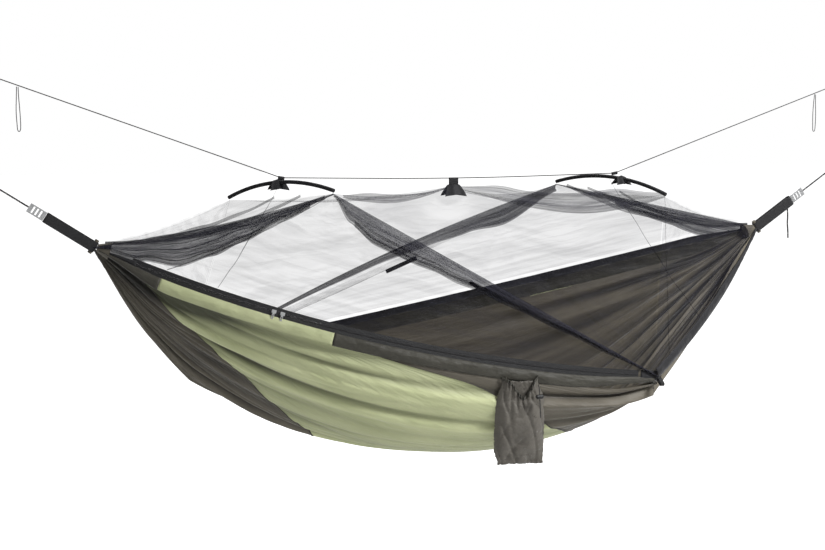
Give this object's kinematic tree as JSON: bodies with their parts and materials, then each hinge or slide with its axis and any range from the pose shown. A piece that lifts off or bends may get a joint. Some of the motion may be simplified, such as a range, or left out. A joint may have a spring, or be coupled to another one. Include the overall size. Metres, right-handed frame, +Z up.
{
  "type": "camping hammock with bug net",
  "caption": "Hanging double-layer camping hammock with zipped bug net, two spreader rods, ridge line, webbing slings with rope adjusters and a stuff sack on the hem.",
  "frame": {"origin": "centre of the left suspension rope's eye, which hangs on the left anchor", "axes": "+X from the left anchor towards the right anchor, +Y towards the far side (away from the zipped side), +Z up"},
  "size_m": [3.472, 1.0436, 1.4541],
  "materials": {
    "bug_net": "fine black mosquito mesh, see-through",
    "black_trim": "black woven binding",
    "light_green_cloth": "thin light green nylon, soft sheen",
    "olive_cloth": "thin dark olive nylon, soft sheen",
    "black_webbing": "black polyester webbing",
    "zip_black": "black zip tape and coil",
    "zip_metal": "bright plated zip metal",
    "alloy": "satin aluminium",
    "ridge_cord": "thin black braided cord",
    "rope": "black braided rope with light flecks",
    "black_plastic": "moulded black plastic",
    "rod_tube": "thin anodised aluminium tube"
  },
  "bodies": {
    "frame": {"adjuster_plate_left": "alloy", "adjuster_plate_right": "alloy", "bed_hem_far_long": "olive_cloth", "bed_hem_near_long": "olive_cloth", "end_channel_left": "olive_cloth", "end_channel_right": "olive_cloth", "gear_loops": "black_webbing", "hanger_loop_left": "black_webbing", "hanger_loop_middle": "black_webbing", "hanger_loop_right": "black_webbing", "inner_bed_layer": "olive_cloth", "net_far_left": "bug_net", "net_far_middle": "bug_net", "net_far_right": "bug_net", "net_hem_far_long": "black_trim", "net_near_left": "bug_net", "net_near_middle": "bug_net", "net_near_right": "bug_net", "net_patches": "black_trim", "net_top_left": "bug_net", "net_top_left_end": "bug_net", "net_top_right": "bug_net", "net_top_right_end": "bug_net", "outer_panel_green": "light_green_cloth", "outer_panel_left": "olive_cloth", "outer_panel_right": "olive_cloth", "ridge_eye_left": "ridge_cord", "ridge_eye_right": "ridge_cord", "ridge_line": "ridge_cord", "rim_band_far_short": "black_trim", "rim_band_near_short": "black_trim", "rod_sleeve_left": "black_trim", "rod_sleeve_right": "black_trim", "rope_eye_left": "rope", "rope_eye_right": "rope", "side_loops": "black_webbing", "sling_left": "black_webbing", "sling_right": "black_webbing", "suspension_rope_left": "rope", "suspension_rope_right": "rope", "zip_coil": "zip_black", "zip_tape_bed": "zip_black", "zip_tape_net": "zip_black"},
    "zip_slider_left": {"zip_slider_left": "zip_metal"},
    "zip_pull_left": {"zip_pull_left": "zip_metal"},
    "zip_slider_right": {"zip_slider_right": "zip_metal"},
    "zip_pull_right": {"zip_pull_right": "zip_metal"},
    "rod_left": {"spreader_rod_left": "rod_tube", "rod_end_caps_left": "black_plastic"},
    "rod_right": {"spreader_rod_right": "rod_tube", "rod_end_caps_right": "black_plastic"},
    "sack": {"stuff_sack": "olive_cloth", "sack_drawcord": "ridge_cord"},
    "cord_lock": {"cord_lock_barrel": "black_plastic"},
    "lock_button": {"cord_lock_button": "black_plastic"},
    "ridge_tail_left": {"ridge_tail_left": "ridge_cord"},
    "ridge_tail_right": {"ridge_tail_right": "ridge_cord"},
    "rope_tail": {"rope_tail_right": "rope"}
  },
  "joints": [
    {"name": "zip_left_travel", "type": "hinge", "parent": "frame", "child": "zip_slider_left", "pos_m": [2.87682, 2.72909, 2.73865], "axis": [-0.0034, -0.7399, 0.6727], "range_deg": [-5.9, 0]},
    {"name": "zip_pull_left_swing", "type": "hinge", "parent": "zip_slider_left", "child": "zip_pull_left", "pos_m": [1.00237, -0.2133, -0.49949], "axis": [0.9192, -0.2672, -0.2893], "range_deg": [-150, 0]},
    {"name": "zip_right_travel", "type": "hinge", "parent": "frame", "child": "zip_slider_right", "pos_m": [2.87682, 2.72909, 2.73865], "axis": [-0.0034, -0.7399, 0.6727], "range_deg": [0, 15.4]},
    {"name": "zip_pull_right_swing", "type": "hinge", "parent": "zip_slider_right", "child": "zip_pull_right", "pos_m": [1.03105, -0.22156, -0.50844], "axis": [0.9217, -0.2632, -0.2848], "range_deg": [-150, 0]},
    {"name": "rod_left_slide_out", "type": "hinge", "parent": "frame", "child": "rod_left", "pos_m": [1.10646, -0.06078, -0.90503], "axis": [-0.8261, -0.5635, 0], "range_deg": [-20, 0]},
    {"name": "rod_right_slide_out", "type": "hinge", "parent": "frame", "child": "rod_right", "pos_m": [2.35187, 0.03933, -0.90709], "axis": [-0.8902, -0.4555, 0], "range_deg": [0, 20]},
    {"name": "sack_swing", "type": "hinge", "parent": "frame", "child": "sack", "pos_m": [1.84313, -0.40301, -0.7477], "axis": [0.9888, -0.1492, 0], "range_deg": [-55, 0]},
    {"name": "cord_lock_slide", "type": "slide", "parent": "sack", "child": "cord_lock", "axis": [0.0211, -0.0604, -0.9979], "range_m": [-0.008, 0.006]},
    {"name": "lock_button_press", "type": "slide", "parent": "cord_lock", "child": "lock_button", "axis": [0.9998, 0.0013, 0.0211], "range_m": [0, 0.0035], "stiffness_N_per_m": 250, "springref_m": -0.003},
    {"name": "ridge_tail_left_swing", "type": "hinge", "parent": "frame", "child": "ridge_tail_left", "pos_m": [0.17858, 0, 0.27251], "axis": [0, 1, 0], "range_deg": [-22, 22]},
    {"name": "ridge_tail_right_swing", "type": "hinge", "parent": "frame", "child": "ridge_tail_right", "pos_m": [3.28107, 0, 0.25749], "axis": [0, 1, 0], "range_deg": [-22, 22]},
    {"name": "rope_tail_swing", "type": "hinge", "parent": "frame", "child": "rope_tail", "pos_m": [3.17161, 0, -0.207], "axis": [0, 1, 0], "range_deg": [-35, 35]}
  ]
}
